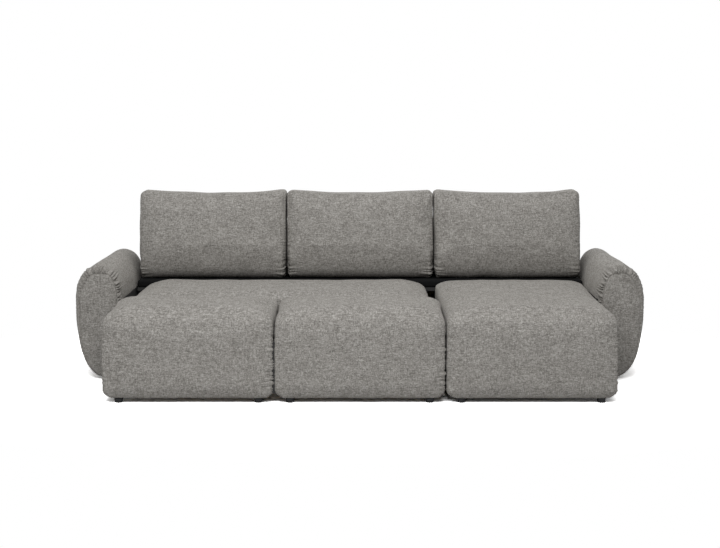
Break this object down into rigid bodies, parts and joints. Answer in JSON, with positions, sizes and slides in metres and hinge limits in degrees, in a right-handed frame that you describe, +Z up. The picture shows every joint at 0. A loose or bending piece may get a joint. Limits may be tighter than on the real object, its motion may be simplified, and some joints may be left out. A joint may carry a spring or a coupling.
{
  "type": "sleeper sofa",
  "caption": "Wide upholstered sofa with a fixed chaise on one side, round roll arms, loose back cushions and seat blocks that swing forward while a filler rises behind them to make a bed.",
  "frame": {"origin": "on the floor under the middle of the bounding box", "axes": "+X to the right as seen from the front, where the chaise is; +Y to the back of the sofa; +Z up; the seat fronts face -Y"},
  "size_m": [2.852, 1.58, 0.9024],
  "materials": {
    "grey_fabric": "woven melange upholstery, warm grey",
    "timber": "sawn softwood and plywood, unfinished",
    "black_board": "particle board, stained black",
    "black_lining": "black non-woven lining cloth",
    "black_steel": "black powder coat, satin",
    "zinc_pins": "zinc plated",
    "foot_plastic": "black, matt"
  },
  "bodies": {
    "base": {"chaise_cover": "grey_fabric", "chaise_frame": "black_board", "chaise_deck": "timber", "chaise_foot_left": "foot_plastic", "chaise_foot_right": "foot_plastic", "base_rail_left": "black_steel", "base_foot_left": "foot_plastic", "base_rail_right": "black_steel", "base_foot_right": "foot_plastic", "base_cross_rail_front": "black_steel", "base_cross_rail_rear": "black_steel", "back_panel": "timber", "back_cover": "grey_fabric", "rear_foot_left": "foot_plastic", "rear_foot_middle": "foot_plastic", "rear_foot_right": "foot_plastic", "ledge_board": "black_board", "ledge_pad": "black_lining", "front_base_pin_left": "zinc_pins", "rear_base_pin_left": "zinc_pins", "bracket_plate_left": "black_steel", "arm_cover_left": "grey_fabric", "arm_panel_left": "black_board", "front_base_pin_right": "zinc_pins", "rear_base_pin_right": "zinc_pins", "bracket_plate_right": "black_steel", "arm_cover_right": "grey_fabric", "arm_panel_right": "black_board"},
    "seat_pair": {"left_seat_cover": "grey_fabric", "left_seat_deck": "timber", "left_seat_foot_left": "foot_plastic", "left_seat_foot_right": "foot_plastic", "middle_seat_cover": "grey_fabric", "middle_seat_deck": "timber", "middle_seat_foot_left": "foot_plastic", "middle_seat_foot_right": "foot_plastic", "seat_front_board": "black_board", "front_seat_pin_left": "zinc_pins", "rear_seat_pin_left": "zinc_pins", "carriage_plate_left": "black_steel", "front_seat_pin_right": "zinc_pins", "rear_seat_pin_right": "zinc_pins", "carriage_plate_right": "black_steel"},
    "filler": {"filler_deck": "timber", "filler_cover": "grey_fabric", "filler_rail_left": "black_steel", "filler_rail_right": "black_steel"},
    "left_back_cushion": {"left_back_cushion": "grey_fabric"},
    "middle_back_cushion": {"middle_back_cushion": "grey_fabric"},
    "right_back_cushion": {"right_back_cushion": "grey_fabric"},
    "front_swing_arm_left": {"front_swing_arm_left": "black_steel"},
    "rear_swing_arm_left": {"rear_swing_arm_left": "black_steel"},
    "front_filler_arm_left": {"front_filler_arm_left": "black_steel"},
    "rear_filler_arm_left": {"rear_filler_arm_left": "black_steel"},
    "front_swing_arm_right": {"front_swing_arm_right": "black_steel"},
    "rear_swing_arm_right": {"rear_swing_arm_right": "black_steel"},
    "front_filler_arm_right": {"front_filler_arm_right": "black_steel"},
    "rear_filler_arm_right": {"rear_filler_arm_right": "black_steel"}
  },
  "joints": [
    {"name": "seat_swing", "type": "hinge", "parent": "base", "child": "front_swing_arm_left", "pos_m": [-1.179, -0.125, 0.15], "axis": [-1, 0, 0], "range_deg": [0, 164]},
    {"name": "seat_level", "type": "hinge", "parent": "front_swing_arm_left", "child": "seat_pair", "pos_m": [-1.179, -0.425, 0.19216], "axis": [-1, 0, 0], "range_deg": [-164, 0]},
    {"name": "front_right_swing", "type": "hinge", "parent": "base", "child": "front_swing_arm_right", "pos_m": [0.376, -0.125, 0.15], "axis": [-1, 0, 0], "range_deg": [0, 164]},
    {"name": "rear_left_swing", "type": "hinge", "parent": "base", "child": "rear_swing_arm_left", "pos_m": [-1.176, 0.015, 0.15], "axis": [-1, 0, 0], "range_deg": [0, 164]},
    {"name": "rear_right_swing", "type": "hinge", "parent": "base", "child": "rear_swing_arm_right", "pos_m": [0.376, 0.015, 0.15], "axis": [-1, 0, 0], "range_deg": [0, 164]},
    {"name": "filler_front_left_swing", "type": "hinge", "parent": "base", "child": "front_filler_arm_left", "pos_m": [-1.159, -0.00958, 0.2647], "axis": [1, 0, 0], "range_deg": [0, 70.45]},
    {"name": "filler_front_right_swing", "type": "hinge", "parent": "base", "child": "front_filler_arm_right", "pos_m": [0.359, -0.00958, 0.2647], "axis": [1, 0, 0], "range_deg": [0, 70.45]},
    {"name": "filler_rear_left_swing", "type": "hinge", "parent": "base", "child": "rear_filler_arm_left", "pos_m": [-1.159, 0.29042, 0.2647], "axis": [1, 0, 0], "range_deg": [0, 70.45]},
    {"name": "filler_rear_right_swing", "type": "hinge", "parent": "base", "child": "rear_filler_arm_right", "pos_m": [0.359, 0.29042, 0.2647], "axis": [1, 0, 0], "range_deg": [0, 70.45]},
    {"name": "filler_level", "type": "hinge", "parent": "front_filler_arm_left", "child": "filler", "pos_m": [-1.159, -0.19, 0.2647], "axis": [1, 0, 0], "range_deg": [-70.45, 0]},
    {"name": "left_cushion_lift", "type": "slide", "parent": "base", "child": "left_back_cushion", "axis": [0, 0, 1], "range_m": [0, 0.45]},
    {"name": "middle_cushion_lift", "type": "slide", "parent": "base", "child": "middle_back_cushion", "axis": [0, 0, 1], "range_m": [0, 0.45]},
    {"name": "right_cushion_lift", "type": "slide", "parent": "base", "child": "right_back_cushion", "axis": [0, 0, 1], "range_m": [0, 0.45]}
  ],
  "couplings": [
    {"joint": "seat_level", "follows": "seat_swing", "ratio": -1},
    {"joint": "front_right_swing", "follows": "seat_swing", "ratio": 1},
    {"joint": "rear_left_swing", "follows": "seat_swing", "ratio": 1},
    {"joint": "rear_right_swing", "follows": "seat_swing", "ratio": 1},
    {"joint": "filler_front_left_swing", "follows": "seat_swing", "ratio": 0.42948},
    {"joint": "filler_front_right_swing", "follows": "seat_swing", "ratio": 0.42948},
    {"joint": "filler_rear_left_swing", "follows": "seat_swing", "ratio": 0.42948},
    {"joint": "filler_rear_right_swing", "follows": "seat_swing", "ratio": 0.42948},
    {"joint": "filler_level", "follows": "seat_swing", "ratio": -0.42948}
  ]
}
